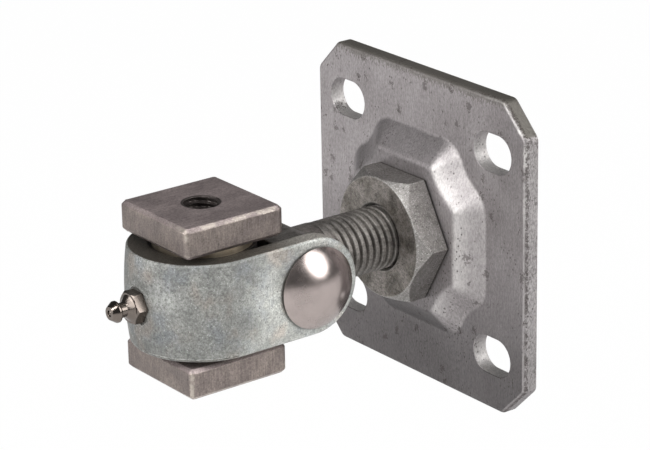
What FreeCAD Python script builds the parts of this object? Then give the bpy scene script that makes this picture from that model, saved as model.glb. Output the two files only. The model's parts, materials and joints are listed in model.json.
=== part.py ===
import FreeCAD, Part
import math
import os

Vector = FreeCAD.Vector

# Frame: X runs out from the post along the threaded rod, Z is up, and the origin is
# the middle of the plate's back face. Every size is in millimetres.
X_AXIS = Vector(1, 0, 0)
Y_AXIS = Vector(0, 1, 0)
Z_AXIS = Vector(0, 0, 1)

# Slots for the bolts to the post, long along Y, and the plate's margin beyond them
slot_spacing_y = 70.0
slot_spacing_z = 65.0
slot_width = 12.0
slot_length = 17.0
slot_margin_y = 15.0
slot_margin_z = 17.5

# Mounting plate, pressed from one sheet
plate_thickness = 5.0
plate_corner_cut = 10.0
plate_corner_blend = 3.0
plate_edge_round = 1.2

# Raised pad with its corners scooped out around the slots, and the room that its recess
# leaves round the nut's thrust washer
pad_washer_room_y = 3.8
pad_washer_room_z = 3.3
pad_rise = 6.0
pad_wall_run = 8.0
pad_wall_thinning = 1.7
pad_slot_margin = 9.3
pad_foot_blend = 10.0
pad_root = 1.0
pad_top_round = 9.0
pad_foot_round = 2.5

# Adjusting nut, held in the pad and free to turn
thread_diameter = 20.0
thread_crest_drop = 0.15
thread_clearance = 0.1
nut_across_flats = 38.4
nut_thickness = 9.8
nut_face_inset = 0.2
nut_chamfer_slope = 1.2
nut_mouth_depth = 0.8
nut_pad_gap = 0.3
spigot_diameter = 28.0
spigot_clearance = 0.1
spigot_lip = 1.0

# Thrust washer and retaining ring behind the pad
washer_wall = 4.4
washer_thickness = 1.5
washer_gap = 0.3
ring_thickness = 1.5
ring_groove_depth = 0.75
ring_width = 2.9
ring_seat_gap = 0.02
ring_opening = 34.0
ring_lug_lean = 4.0
ring_lug_radius = 2.2
ring_lug_hole = 0.9

# Threaded rod with its forged head
rod_rear_stand_in = 1.0
rod_end_chamfer = 1.6
rod_neck_length = 7.0
head_radius = 13.0
head_edge_break = 1.2
head_side_fit = 0.1
head_barrel_gap = 0.4
head_land = 2.65

# Strap bent round the pivot barrel, with its ears riveted to the rod's head
strap_height = 30.0
strap_thickness = 5.5
strap_edge_break = 0.6
strap_nose_lead = 1.0
strap_nose_bulge = 0.95
rivet_to_plate = 60.7

# Rivet
rivet_diameter = 12.0
rivet_hole_clearance = 0.1
rivet_head_diameter = 25.0
rivet_head_height = 6.4
rivet_rim = 0.8
rivet_tail_diameter = 23.0
rivet_tail_height = 5.0

# Pivot barrel, bronze bushes and pivot pin
barrel_wall = 3.88
barrel_end_set_in = 0.5
barrel_strap_fit = 0.05
bush_wall = 2.0
bush_flange_lip = 2.95
bush_flange_thickness = 2.1
bush_grease_gap = 5.0
bush_press_gap = 0.02
pin_diameter = 20.0
pin_clearance = 0.05
pin_end_play = 0.2
pin_spigot_diameter = 14.0
pin_spigot_length = 4.2
pin_thread_depth = 13.5
pin_break = 0.8

# Square blocks that are welded or bolted to the gate, tapped M12
block_side = 34.4
block_thickness = 9.5
block_corner_round = 2.0
block_edge_break = 1.2
block_spigot_clearance = 0.05
block_thread_minor = 10.2
block_mouth_chamfer = 0.2

# Grease nipple in the strap's nose
nipple_seat_depth = 0.4
nipple_seat_diameter = 11.0
nipple_across_flats = 9.0
nipple_hex_height = 3.4
nipple_hex_chamfer = 0.4
nipple_shoulder_slope = 0.7
nipple_shank_diameter = 8.0
nipple_shank_clearance = 0.1
nipple_shank_length = 9.0
nipple_stem_length = 10.0
nipple_neck_diameter = 4.5
nipple_head_diameter = 6.5
nipple_tip_diameter = 4.0
nipple_cone_length = 2.2
nipple_button_land = 0.6
nipple_chamber_diameter = 3.0
nipple_mouth_diameter = 1.9
nipple_lip = 0.5
nipple_crimp_diameter = 1.6
nipple_crimp_length = 0.8
ball_diameter = 2.4
ball_seat_gap = 0.03
spring_wire = 0.35
spring_outer_diameter = 2.5
spring_turns = 4
spring_end_gap = 0.05

# How far a cutting solid reaches past the face that it cuts
cut_past = 1.0

# Sizes that follow from the ones above
spigot_hole_radius = spigot_diameter / 2 + spigot_clearance
washer_radius = spigot_hole_radius + washer_wall
pad_width = 2 * (washer_radius + pad_washer_room_y + pad_wall_run + pad_wall_thinning)
pad_height = 2 * (washer_radius + pad_washer_room_z + pad_wall_run + pad_wall_thinning)
plate_width = slot_spacing_y + 2 * slot_margin_y
plate_height = slot_spacing_z + 2 * slot_margin_z
scallop_radius = slot_width / 2 + pad_slot_margin
pad_front = plate_thickness + pad_rise
pad_back = pad_rise
nut_back = pad_front + nut_pad_gap
nut_front = nut_back + nut_thickness
washer_front = pad_back - washer_gap
washer_back = washer_front - washer_thickness
ring_front = washer_back - thread_clearance
ring_back = ring_front - ring_thickness
spigot_end = ring_back - spigot_lip
rod_radius = thread_diameter / 2 - thread_crest_drop
nut_bore_radius = rod_radius + thread_clearance
bush_bore_radius = pin_diameter / 2 + pin_clearance
bush_outer_radius = bush_bore_radius + bush_wall
bush_flange_radius = bush_outer_radius + bush_flange_lip
barrel_radius = bush_outer_radius + bush_press_gap + barrel_wall
rivet_x = rivet_to_plate
head_front = rivet_x + rivet_diameter / 2 + head_land
pivot_x = head_front + head_barrel_gap + barrel_radius
strap_inner_radius = barrel_radius + barrel_strap_fit
strap_outer_radius = strap_inner_radius + strap_thickness
strap_half = strap_height / 2
head_half_width = strap_inner_radius - head_side_fit
neck_radius = thread_diameter / 2
neck_start = rivet_x - math.sqrt(head_radius**2 - neck_radius**2) - rod_neck_length
barrel_half = strap_half - barrel_end_set_in
block_inner = barrel_half + bush_flange_thickness + pin_end_play
block_outer = block_inner + block_thickness
bend_x = pivot_x + strap_nose_lead
nose_x = bend_x + strap_outer_radius + strap_nose_bulge
nipple_seat = nose_x - nipple_seat_depth
nipple_tip = nipple_seat + nipple_stem_length
seat_ring = nipple_tip - nipple_lip
ball_x = seat_ring - ball_seat_gap - math.sqrt(ball_diameter**2 - nipple_mouth_diameter**2) / 2
shank_end = nipple_seat - nipple_shank_length
chamber_end = shank_end + nipple_crimp_length


def cylinder(axis, radius, start, end, offset=Vector(0, 0, 0)):
    """Solid cylinder along an axis, between two distances from the origin."""
    base = axis * start + offset
    return Part.makeCylinder(radius, end - start, base, axis)


def turned(points):
    """Solid of revolution about X from (distance along X, radius) points."""
    corners = [Vector(x, r, 0) for x, r in points]
    profile = Part.Face(Part.makePolygon(corners + corners[:1]))
    return profile.revolve(Vector(0, 0, 0), X_AXIS, 360)


def stood_up(shape, x):
    """A shape turned about X, stood upright along Z at a distance along X."""
    shape.rotate(Vector(0, 0, 0), Y_AXIS, -90)
    shape.translate(Vector(x, 0, 0))
    return shape


def hexagon_prism(across_flats, start, end):
    """Six-sided bar along X, with two corners pointing along Y."""
    corner = across_flats / math.sqrt(3)
    ring = []
    for step in range(7):
        angle = math.radians(60 * step)
        ring.append(Vector(start, corner * math.cos(angle), corner * math.sin(angle)))
    return Part.Face(Part.makePolygon(ring)).extrude(X_AXIS * (end - start))


def rounded(shape, radius, wanted):
    """Rounds the edges that a test picks out."""
    return shape.makeFillet(radius, [edge for edge in shape.Edges if wanted(edge)])


def bevelled(shape, width, wanted):
    """Bevels the edges that a test picks out."""
    return shape.makeChamfer(width, [edge for edge in shape.Edges if wanted(edge)])


def flat_edge(edge, axis, level):
    """True if the whole edge lies in the plane across an axis at a level."""
    box = edge.BoundBox
    low = {"x": box.XMin, "y": box.YMin, "z": box.ZMin}[axis]
    high = {"x": box.XMax, "y": box.YMax, "z": box.ZMax}[axis]
    return abs(low - level) < 0.001 and abs(high - level) < 0.001


def straight_along(edge, direction):
    """True if the edge is a straight line along a direction."""
    if not isinstance(edge.Curve, Part.Line):
        return False
    return abs(edge.Curve.Direction.dot(direction)) > 0.999


def pad_corner(inset, x, side_y, side_z):
    """One scooped corner of the pad: blend, scoop round the slot, blend."""
    half_y = pad_width / 2 - inset
    half_z = pad_height / 2 - inset
    scoop = scallop_radius + inset
    blend = pad_foot_blend - inset
    slot = Vector(0, slot_spacing_y / 2, slot_spacing_z / 2)
    reach = scoop + blend
    near_y = half_y - blend
    near_z = half_z - blend
    blend_a = Vector(0, near_y, slot.z - math.sqrt(reach**2 - (slot.y - near_y)**2))
    blend_b = Vector(0, slot.y - math.sqrt(reach**2 - (slot.z - near_z)**2), near_z)
    start = Vector(0, half_y, blend_a.z)
    end = Vector(0, blend_b.y, half_z)
    meet_a = slot + (blend_a - slot) * (scoop / reach)
    meet_b = slot + (blend_b - slot) * (scoop / reach)

    def between(centre, first, last, radius):
        middle = (first - centre) + (last - centre)
        return centre + middle.normalize() * radius

    points = [
        start, between(blend_a, start, meet_a, blend), meet_a,
        between(slot, meet_a, meet_b, scoop), meet_b,
        between(blend_b, meet_b, end, blend), end,
    ]
    points = [Vector(x, p.y * side_y, p.z * side_z) for p in points]
    return points if side_y * side_z > 0 else points[::-1]


def pad_outline(inset, x):
    """The pad's closed outline, drawn in by an inset, at a distance along X."""
    edges = []
    corners = [pad_corner(inset, x, sy, sz) for sy, sz in ((1, 1), (-1, 1), (-1, -1), (1, -1))]
    for number, corner in enumerate(corners):
        for first in (0, 2, 4):
            edges.append(Part.Arc(*corner[first:first + 3]).toShape())
        following = corners[(number + 1) % 4]
        edges.append(Part.LineSegment(corner[-1], following[0]).toShape())
    return Part.Wire(edges)


def pad_body(inset, start, end):
    """The pad as a block with sloping walls, rooted a little below its foot."""
    foot = Part.Face(pad_outline(inset, start - pad_root))
    block = foot.extrude(X_AXIS * (end - start + pad_root))
    rim = [edge for edge in block.Edges if flat_edge(edge, "x", end)]
    return block.makeChamfer(end - start, pad_wall_run, rim)


def slot_hole(y, z):
    """One slot through the plate, round at both ends."""
    radius = slot_width / 2
    half_run = slot_length / 2 - radius
    through = plate_thickness + 2 * cut_past
    low = Vector(-cut_past, y - half_run, z - radius)
    hole = Part.makeBox(through, 2 * half_run, slot_width, low)
    for end in (-half_run, half_run):
        hole = hole.fuse(Part.makeCylinder(radius, through, Vector(-cut_past, y + end, z), X_AXIS))
    return hole


def mounting_plate():
    """Flat rim with cut corners, the raised pad, its recess, slots and nut hole."""
    half_y, half_z = plate_width / 2, plate_height / 2
    low = Vector(0, -half_y, -half_z)
    sheet = Part.makeBox(plate_thickness, plate_width, plate_height, low)
    corners = [edge for edge in sheet.Edges if straight_along(edge, X_AXIS)]
    sheet = sheet.makeChamfer(plate_corner_cut, corners)
    sheet = rounded(sheet, plate_corner_blend, lambda edge: straight_along(edge, X_AXIS))
    sheet = rounded(sheet, plate_edge_round, lambda edge: flat_edge(edge, "x", plate_thickness))
    plate = sheet.fuse(pad_body(0, plate_thickness, pad_front))
    plate = rounded(plate, pad_top_round, lambda edge: flat_edge(edge, "x", pad_front))
    reach_y = pad_width / 2 + pad_root
    reach_z = pad_height / 2 + pad_root
    plate = rounded(
        plate, pad_foot_round,
        lambda edge: flat_edge(edge, "x", plate_thickness) and edge.BoundBox.YMax < reach_y
        and edge.BoundBox.YMin > -reach_y and abs(edge.BoundBox.Center.z) < reach_z)
    plate = plate.cut(pad_body(pad_wall_thinning, 0, pad_back))
    plate = plate.cut(cylinder(X_AXIS, spigot_hole_radius, -cut_past, pad_front + cut_past))
    for side_y in (-1, 1):
        for side_z in (-1, 1):
            plate = plate.cut(slot_hole(side_y * slot_spacing_y / 2, side_z * slot_spacing_z / 2))
    return plate


def adjusting_nut():
    """Wide thin hexagon with a spigot that goes back through the pad."""
    face_radius = nut_across_flats / 2 - nut_face_inset
    corner = nut_across_flats / math.sqrt(3) + cut_past
    cone_drop = (corner - face_radius) * nut_chamfer_slope
    envelope = turned([
        (nut_back, 0), (nut_back, corner),
        (nut_front - cone_drop, corner), (nut_front, face_radius), (nut_front, 0)])
    nut = hexagon_prism(nut_across_flats, nut_back, nut_front).common(envelope)
    spigot_radius = spigot_diameter / 2
    nut = nut.fuse(cylinder(X_AXIS, spigot_radius, spigot_end, nut_back))
    groove = cylinder(X_AXIS, spigot_radius + cut_past, ring_back, ring_front)
    groove = groove.cut(cylinder(X_AXIS, spigot_radius - ring_groove_depth, ring_back, ring_front))
    nut = nut.cut(groove)
    nut = nut.cut(cylinder(X_AXIS, nut_bore_radius, spigot_end - cut_past, nut_front + cut_past))
    mouth_radius = nut_bore_radius + nut_mouth_depth
    mouth = turned([
        (nut_front - nut_mouth_depth, 0), (nut_front - nut_mouth_depth, nut_bore_radius),
        (nut_front, mouth_radius), (nut_front + cut_past, mouth_radius), (nut_front + cut_past, 0)])
    return nut.cut(mouth)


def nut_thrust_washer():
    """Flat washer round the spigot, behind the pad."""
    disc = cylinder(X_AXIS, washer_radius, washer_back, washer_front)
    return disc.cut(cylinder(X_AXIS, spigot_hole_radius, washer_back, washer_front))


def nut_retaining_ring():
    """Open spring ring in the spigot's groove, with a pierced lug at each end."""
    inner = spigot_diameter / 2 - ring_groove_depth + ring_seat_gap
    outer = inner + ring_width
    ring = cylinder(X_AXIS, outer, ring_back, ring_front)
    for side in (-1, 1):
        angle = math.radians(-90 + side * (ring_opening / 2 + ring_lug_lean))
        centre = Vector(0, math.cos(angle), math.sin(angle)) * outer
        ring = ring.fuse(cylinder(X_AXIS, ring_lug_radius, ring_back, ring_front, centre))
        ring = ring.cut(cylinder(X_AXIS, ring_lug_hole, ring_back, ring_front, centre))
    ring = ring.cut(cylinder(X_AXIS, inner, ring_back, ring_front))
    reach = outer + 2 * ring_lug_radius
    half_gap = math.radians(ring_opening / 2)
    wedge = Part.makePolygon([
        Vector(ring_back, 0, 0),
        Vector(ring_back, -reach * math.tan(half_gap), -reach),
        Vector(ring_back, reach * math.tan(half_gap), -reach),
        Vector(ring_back, 0, 0)])
    return ring.cut(Part.Face(wedge).extrude(X_AXIS * ring_thickness))


def threaded_rod():
    """Rod with a short plain neck and a forged head that fills the strap's ears."""
    rear = rod_rear_stand_in
    shank = turned([
        (rear, 0), (rear, rod_radius - rod_end_chamfer), (rear + rod_end_chamfer, rod_radius),
        (neck_start, rod_radius), (neck_start, neck_radius), (rivet_x, neck_radius), (rivet_x, 0)])
    eye = cylinder(Y_AXIS, head_radius, -head_half_width, head_half_width, Vector(rivet_x, 0, 0))
    low = Vector(rivet_x - head_radius, -head_half_width, -head_radius)
    rear_half = Part.makeBox(head_radius, 2 * head_half_width, 2 * head_radius, low)
    low = Vector(rivet_x, -head_half_width, -head_radius)
    nose = Part.makeBox(head_front - rivet_x, 2 * head_half_width, 2 * head_radius, low)
    head = eye.common(rear_half).fuse(nose).removeSplitter()
    head = bevelled(head, head_edge_break, lambda edge: (
        flat_edge(edge, "y", head_half_width) or flat_edge(edge, "y", -head_half_width)))
    rod = shank.fuse(head)
    hole_radius = rivet_diameter / 2 + rivet_hole_clearance
    hole = cylinder(Y_AXIS, hole_radius, -head_half_width, head_half_width, Vector(rivet_x, 0, 0))
    return rod.cut(hole)


def strap_nose():
    """Swelling that the bend leaves round the strap's nose, highest at mid-height."""
    half = strap_half - strap_edge_break
    foot = Vector(strap_outer_radius, 0, half)
    crest = Vector(strap_outer_radius + strap_nose_bulge, 0, 0)
    swell = Part.Arc(foot, crest, Vector(foot.x, 0, -half)).toShape()
    core = Part.makePolygon([Vector(foot.x, 0, -half), Vector(0, 0, -half), Vector(0, 0, half), foot])
    barrel = Part.Face(Part.Wire([swell] + core.Edges)).revolve(Vector(0, 0, 0), Z_AXIS, 360)
    barrel.translate(Vector(bend_x, 0, 0))
    low = Vector(pivot_x, -strap_outer_radius, -half)
    return barrel.common(Part.makeBox(nose_x - pivot_x, 2 * strap_outer_radius, 2 * half, low))


def strap():
    """Flat bar bent into a U, its ears rounded about the rivet."""
    ear_end = rivet_x - strap_half
    outer = cylinder(Z_AXIS, strap_outer_radius, -strap_half, strap_half, Vector(bend_x, 0, 0))
    low = Vector(ear_end, -strap_outer_radius, -strap_half)
    bar = Part.makeBox(bend_x - ear_end, 2 * strap_outer_radius, strap_height, low)
    bar = bar.fuse(outer).removeSplitter()
    ears = cylinder(Y_AXIS, strap_half, -strap_outer_radius, strap_outer_radius, Vector(rivet_x, 0, 0))
    front = Part.makeBox(
        nose_x - rivet_x, 2 * strap_outer_radius, strap_height,
        Vector(rivet_x, -strap_outer_radius, -strap_half))
    bar = bar.common(ears.fuse(front)).removeSplitter()
    bar = bevelled(bar, strap_edge_break, lambda edge: (
        flat_edge(edge, "z", strap_half) or flat_edge(edge, "z", -strap_half)
        or flat_edge(edge, "y", strap_outer_radius) or flat_edge(edge, "y", -strap_outer_radius)))
    bar = bar.fuse(strap_nose()).removeSplitter()
    inner = cylinder(
        Z_AXIS, strap_inner_radius, -strap_half, strap_half, Vector(pivot_x, 0, 0))
    slot_low = Vector(ear_end - cut_past, -strap_inner_radius, -strap_half)
    gap = Part.makeBox(pivot_x - ear_end + cut_past, 2 * strap_inner_radius, strap_height, slot_low)
    bar = bar.cut(gap.fuse(inner))
    hole_radius = rivet_diameter / 2 + rivet_hole_clearance
    past = strap_outer_radius + cut_past
    bar = bar.cut(cylinder(Y_AXIS, hole_radius, -past, past, Vector(rivet_x, 0, 0)))
    shank_hole = nipple_shank_diameter / 2 + nipple_shank_clearance
    bar = bar.cut(cylinder(X_AXIS, shank_hole, pivot_x, nose_x + cut_past))
    return bar.cut(cylinder(X_AXIS, nipple_seat_diameter / 2, nipple_seat, nose_x + cut_past))


def domed_head(diameter, height, rim):
    """Shallow dome on a thin rim, standing on X = 0 and rising along X."""
    radius = diameter / 2
    rise = height - rim
    sphere_radius = (radius**2 + rise**2) / (2 * rise)
    ball = Part.makeSphere(sphere_radius, Vector(height - sphere_radius, 0, 0))
    return cylinder(X_AXIS, radius, 0, height).common(ball)


def rivet():
    """One rivet through both ears and the rod's head, domed at both ends."""
    shank = cylinder(X_AXIS, rivet_diameter / 2, -strap_outer_radius, strap_outer_radius)
    made = domed_head(rivet_head_diameter, rivet_head_height, rivet_rim)
    made.translate(X_AXIS * strap_outer_radius)
    tail = domed_head(rivet_tail_diameter, rivet_tail_height, rivet_rim)
    tail.rotate(Vector(0, 0, 0), Z_AXIS, 180)
    tail.translate(X_AXIS * -strap_outer_radius)
    whole = shank.fuse([made, tail])
    whole.rotate(Vector(0, 0, 0), Z_AXIS, 90)
    whole.translate(Vector(rivet_x, 0, 0))
    return whole


def pivot_barrel():
    """Sleeve in the strap's bend that holds both bushes and the nipple's shank."""
    barrel = cylinder(
        Z_AXIS, barrel_radius, -barrel_half, barrel_half, Vector(pivot_x, 0, 0))
    bore = bush_outer_radius + bush_press_gap
    barrel = barrel.cut(cylinder(Z_AXIS, bore, -barrel_half, barrel_half, Vector(pivot_x, 0, 0)))
    shank_hole = nipple_shank_diameter / 2 + nipple_shank_clearance
    return barrel.cut(cylinder(X_AXIS, shank_hole, shank_end, nose_x))


def bush(side):
    """Flanged bronze bush pressed into one end of the barrel."""
    shape = turned([
        (bush_grease_gap / 2, bush_bore_radius), (bush_grease_gap / 2, bush_outer_radius),
        (barrel_half, bush_outer_radius), (barrel_half, bush_flange_radius),
        (barrel_half + bush_flange_thickness, bush_flange_radius),
        (barrel_half + bush_flange_thickness, bush_bore_radius)])
    shape = stood_up(shape, pivot_x)
    return shape if side > 0 else shape.mirror(Vector(0, 0, 0), Z_AXIS)


def pivot_pin():
    """Journal that turns in the bushes, with a tapped spigot for each block."""
    journal = pin_diameter / 2
    spigot = pin_spigot_diameter / 2
    end = block_inner + pin_spigot_length
    half = turned([
        (0, 0), (0, journal), (block_inner - pin_break, journal), (block_inner, journal - pin_break),
        (block_inner, spigot), (end, spigot), (end, block_thread_minor / 2),
        (end - pin_thread_depth, block_thread_minor / 2), (end - pin_thread_depth, 0)])
    half = stood_up(half, pivot_x)
    return half.fuse(half.mirror(Vector(0, 0, 0), Z_AXIS)).removeSplitter()


def block(side):
    """Square block cut from bar, tapped through and seated on the pin's spigot."""
    half = block_side / 2
    low = Vector(pivot_x - half, -half, block_inner)
    body = Part.makeBox(block_side, block_side, block_thickness, low)
    body = rounded(body, block_corner_round, lambda edge: straight_along(edge, Z_AXIS))
    body = bevelled(body, block_edge_break, lambda edge: (
        flat_edge(edge, "z", block_inner) or flat_edge(edge, "z", block_outer)))
    centre = Vector(pivot_x, 0, 0)
    body = body.cut(cylinder(Z_AXIS, block_thread_minor / 2, block_inner, block_outer, centre))
    seat = pin_spigot_diameter / 2 + block_spigot_clearance
    seat_top = block_inner + pin_spigot_length + block_spigot_clearance
    body = body.cut(cylinder(Z_AXIS, seat, block_inner, seat_top, centre))
    minor = block_thread_minor / 2
    mouth = turned([
        (block_outer - block_mouth_chamfer, 0), (block_outer - block_mouth_chamfer, minor),
        (block_outer, minor + block_mouth_chamfer),
        (block_outer + cut_past, minor + block_mouth_chamfer), (block_outer + cut_past, 0)])
    body = body.cut(stood_up(mouth, pivot_x))
    return body if side > 0 else body.mirror(Vector(0, 0, 0), Z_AXIS)


def nipple_body():
    """Hexagon, neck and button head in one turning, bored for its ball and spring."""
    neck = nipple_neck_diameter / 2
    button = nipple_head_diameter / 2
    tip = nipple_tip_diameter / 2
    hex_end = nipple_seat + nipple_hex_height
    shoulder_end = hex_end + (nipple_across_flats / 2 - neck) * nipple_shoulder_slope
    button_x = nipple_tip - nipple_cone_length
    under = button_x - (button - neck)
    half_land = nipple_button_land / 2
    shank = nipple_shank_diameter / 2
    outside = turned([
        (shank_end, 0), (shank_end, shank), (nipple_seat, shank), (hex_end, shank),
        (shoulder_end, neck), (under, neck), (button_x - half_land, button),
        (button_x + half_land, button),
        (nipple_tip, tip), (nipple_tip, 0)])
    corner = nipple_across_flats / math.sqrt(3)
    hexagon = hexagon_prism(nipple_across_flats, nipple_seat, hex_end)
    envelope = turned([
        (nipple_seat, 0), (nipple_seat, corner), (hex_end - nipple_hex_chamfer, corner),
        (hex_end, nipple_across_flats / 2), (hex_end, 0)])
    body = outside.fuse(hexagon.common(envelope))
    chamber = nipple_chamber_diameter / 2
    mouth = nipple_mouth_diameter / 2
    crimp = nipple_crimp_diameter / 2
    cone_run = chamber - mouth
    passage = turned([
        (shank_end - cut_past, 0), (shank_end - cut_past, crimp), (chamber_end, crimp),
        (chamber_end, chamber), (seat_ring - cone_run, chamber), (seat_ring, mouth),
        (nipple_tip + cut_past, mouth), (nipple_tip + cut_past, 0)])
    return body.cut(passage)


def nipple_ball():
    """Check ball that closes the nipple's mouth from inside."""
    return Part.makeSphere(ball_diameter / 2, Vector(ball_x, 0, 0))


def nipple_spring():
    """Light coil spring that holds the ball against its seat."""
    start = chamber_end + spring_end_gap + spring_wire / 2
    ball_back = ball_x - ball_diameter / 2
    end = ball_back - spring_end_gap - spring_wire / 2
    radius = (spring_outer_diameter - spring_wire) / 2
    coil = Part.makeHelix((end - start) / spring_turns, end - start, radius)
    half = spring_wire / 2
    section = Part.makePolygon([
        Vector(radius + half * along, 0, half * up)
        for along, up in ((-1, -1), (1, -1), (1, 1), (-1, 1), (-1, -1))])
    wire = Part.Wire(coil.Edges).makePipeShell([section], True, True)
    wire.rotate(Vector(0, 0, 0), Y_AXIS, 90)
    wire.translate(X_AXIS * start)
    return wire


SUB_PARTS = {
    "mounting_plate": mounting_plate(),
    "adjusting_nut": adjusting_nut(),
    "nut_thrust_washer": nut_thrust_washer(),
    "nut_retaining_ring": nut_retaining_ring(),
    "threaded_rod": threaded_rod(),
    "strap": strap(),
    "rivet": rivet(),
    "pivot_barrel": pivot_barrel(),
    "upper_bush": bush(1),
    "lower_bush": bush(-1),
    "pivot_pin": pivot_pin(),
    "upper_block": block(1),
    "lower_block": block(-1),
    "nipple_body": nipple_body(),
    "nipple_ball": nipple_ball(),
    "nipple_spring": nipple_spring(),
}

os.makedirs("parts", exist_ok=True)
for name, shape in SUB_PARTS.items():
    shape.exportStep("parts/" + name + ".step")
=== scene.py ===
# %% [markdown]
# # An adjustable gate hinge, finished in Blender
#
# The hinge bolts to a gate post by its square plate. A wide thin nut is held captive in the
# plate's pressed pad, and turning it winds the threaded rod in or out. A strap is riveted to the
# rod's head and bends round the pivot, and two square blocks on the pivot carry the gate.
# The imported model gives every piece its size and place, so this lesson only adds the looks:
# real threads, soft worn edges and the metals themselves.

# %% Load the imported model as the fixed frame
import json
import math

import bmesh
import bpy
from mathutils import Matrix, Vector


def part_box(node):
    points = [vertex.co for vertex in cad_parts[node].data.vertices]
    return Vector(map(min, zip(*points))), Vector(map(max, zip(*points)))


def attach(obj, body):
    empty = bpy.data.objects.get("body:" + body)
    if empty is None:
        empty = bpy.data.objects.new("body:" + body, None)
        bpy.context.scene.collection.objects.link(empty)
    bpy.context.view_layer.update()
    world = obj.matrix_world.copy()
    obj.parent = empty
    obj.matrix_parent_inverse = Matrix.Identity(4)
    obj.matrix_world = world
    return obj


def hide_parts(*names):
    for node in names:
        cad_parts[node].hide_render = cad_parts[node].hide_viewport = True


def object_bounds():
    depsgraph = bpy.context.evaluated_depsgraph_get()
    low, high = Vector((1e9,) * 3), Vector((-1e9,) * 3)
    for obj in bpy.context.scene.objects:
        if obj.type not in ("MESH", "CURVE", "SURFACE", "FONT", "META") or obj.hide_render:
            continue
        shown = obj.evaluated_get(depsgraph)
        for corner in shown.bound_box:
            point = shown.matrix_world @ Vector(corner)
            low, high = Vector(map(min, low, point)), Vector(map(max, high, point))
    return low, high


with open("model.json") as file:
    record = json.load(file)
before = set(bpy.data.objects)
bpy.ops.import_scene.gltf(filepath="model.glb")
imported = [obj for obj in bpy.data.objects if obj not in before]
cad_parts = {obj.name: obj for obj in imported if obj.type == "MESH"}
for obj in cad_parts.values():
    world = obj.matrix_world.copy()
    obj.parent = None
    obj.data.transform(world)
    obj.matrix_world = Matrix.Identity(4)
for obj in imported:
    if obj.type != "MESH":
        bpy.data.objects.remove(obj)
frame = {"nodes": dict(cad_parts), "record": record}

MM = 0.001
nodes = frame["nodes"]
cad_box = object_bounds()
print("nodes:", len(nodes), "box in mm:", [[round(v / MM, 1) for v in corner] for corner in cad_box])

# %% [markdown]
# ## Camera
#
# The photograph looks down on the hinge from the pivot's side with a long lens. The numbers are
# a fit of the plate's corners, the nut and the head, on an image of 650 by 450 pixels: the angle
# round the hinge, the height above the horizon, a slight roll, the lens and the distance. The
# point that the fit aims at is where the rod passes the front of the plate's rim.

# %% Place the camera
IMAGE_WIDTH, IMAGE_HEIGHT = 650, 450
SENSOR_WIDTH = 36.0
AZIMUTH, ELEVATION, ROLL = (math.radians(angle) for angle in (143.184, 20.320, -1.094))
FOCAL_PIXELS = 2823.2
DISTANCE = 871.86 * MM
CLIP_NEAR, CLIP_FAR = 0.05, 50.0
RIM_FRONT = 5.0 * MM
AIM_POINT = Vector((RIM_FRONT, 0, 0))
AIM_PIXEL = (418.38, 224.96)


def camera_axes():
    """Right, up and back directions of the camera, after its roll."""
    back = Vector((math.sin(AZIMUTH) * math.cos(ELEVATION),
                   -math.cos(AZIMUTH) * math.cos(ELEVATION), math.sin(ELEVATION)))
    right = Vector((0, 0, 1)).cross(back).normalized()
    up = back.cross(right)
    turn = Matrix.Rotation(ROLL, 3, back)
    return turn @ right, turn @ up, back


def place_camera():
    """Camera whose image puts the aim point on its pixel."""
    right, up, back = camera_axes()
    across = (AIM_PIXEL[0] - IMAGE_WIDTH / 2) / FOCAL_PIXELS * DISTANCE
    down = (AIM_PIXEL[1] - IMAGE_HEIGHT / 2) / FOCAL_PIXELS * DISTANCE
    data = bpy.data.cameras.new("camera")
    data.sensor_width = SENSOR_WIDTH
    data.lens = FOCAL_PIXELS / IMAGE_WIDTH * SENSOR_WIDTH
    data.clip_start, data.clip_end = CLIP_NEAR, CLIP_FAR
    camera = bpy.data.objects.new("camera", data)
    bpy.context.scene.collection.objects.link(camera)
    camera.matrix_world = Matrix((right, up, back)).transposed().to_4x4()
    camera.location = AIM_POINT + back * DISTANCE - right * across + up * down
    bpy.context.scene.camera = camera
    return camera


camera = place_camera()
print("lens in mm:", round(camera.data.lens, 1), "at", [round(v, 3) for v in camera.location])

# %% [markdown]
# ## Shader and shape maths as plain Python
#
# A node tree is a formula drawn as boxes. Here the formula is written in Python instead: a Wire
# wraps one output socket, and adding or multiplying wires adds the Math nodes. The same class
# serves materials and Geometry Nodes. Colours and vectors have nodes of their own, because a
# Math node would turn a colour grey. Every other node comes from Tree.node, which takes the
# node's type, its settings and the values or links of its sockets.

# %% A small language for node trees
class Wire:
    """One output socket, on which Python's operators add Math nodes."""

    def __init__(self, tree, socket):
        self.tree, self.socket = tree, socket

    def math(self, operation, *others):
        """One Math node, on this wire and others."""
        values = dict(enumerate((self, *others)))
        return self.tree.node("ShaderNodeMath", {"operation": operation}, values)

    def __add__(self, other):
        return self.math("ADD", other)

    def __sub__(self, other):
        return self.math("SUBTRACT", other)

    def __mul__(self, other):
        return self.math("MULTIPLY", other)

    def __truediv__(self, other):
        return self.math("DIVIDE", other)

    def __rsub__(self, other):
        return self * -1 + other

    __radd__ = __add__
    __rmul__ = __mul__

    def least(self, other):
        return self.math("MINIMUM", other)

    def most(self, other):
        return self.math("MAXIMUM", other)

    def ramp(self, low, high):
        """0 below low and 1 above high, smooth in between. low may be above high."""
        return self.tree.node("ShaderNodeMapRange", {"interpolation_type": "SMOOTHSTEP"},
                              {"Value": self, "From Min": low, "From Max": high})


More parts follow.
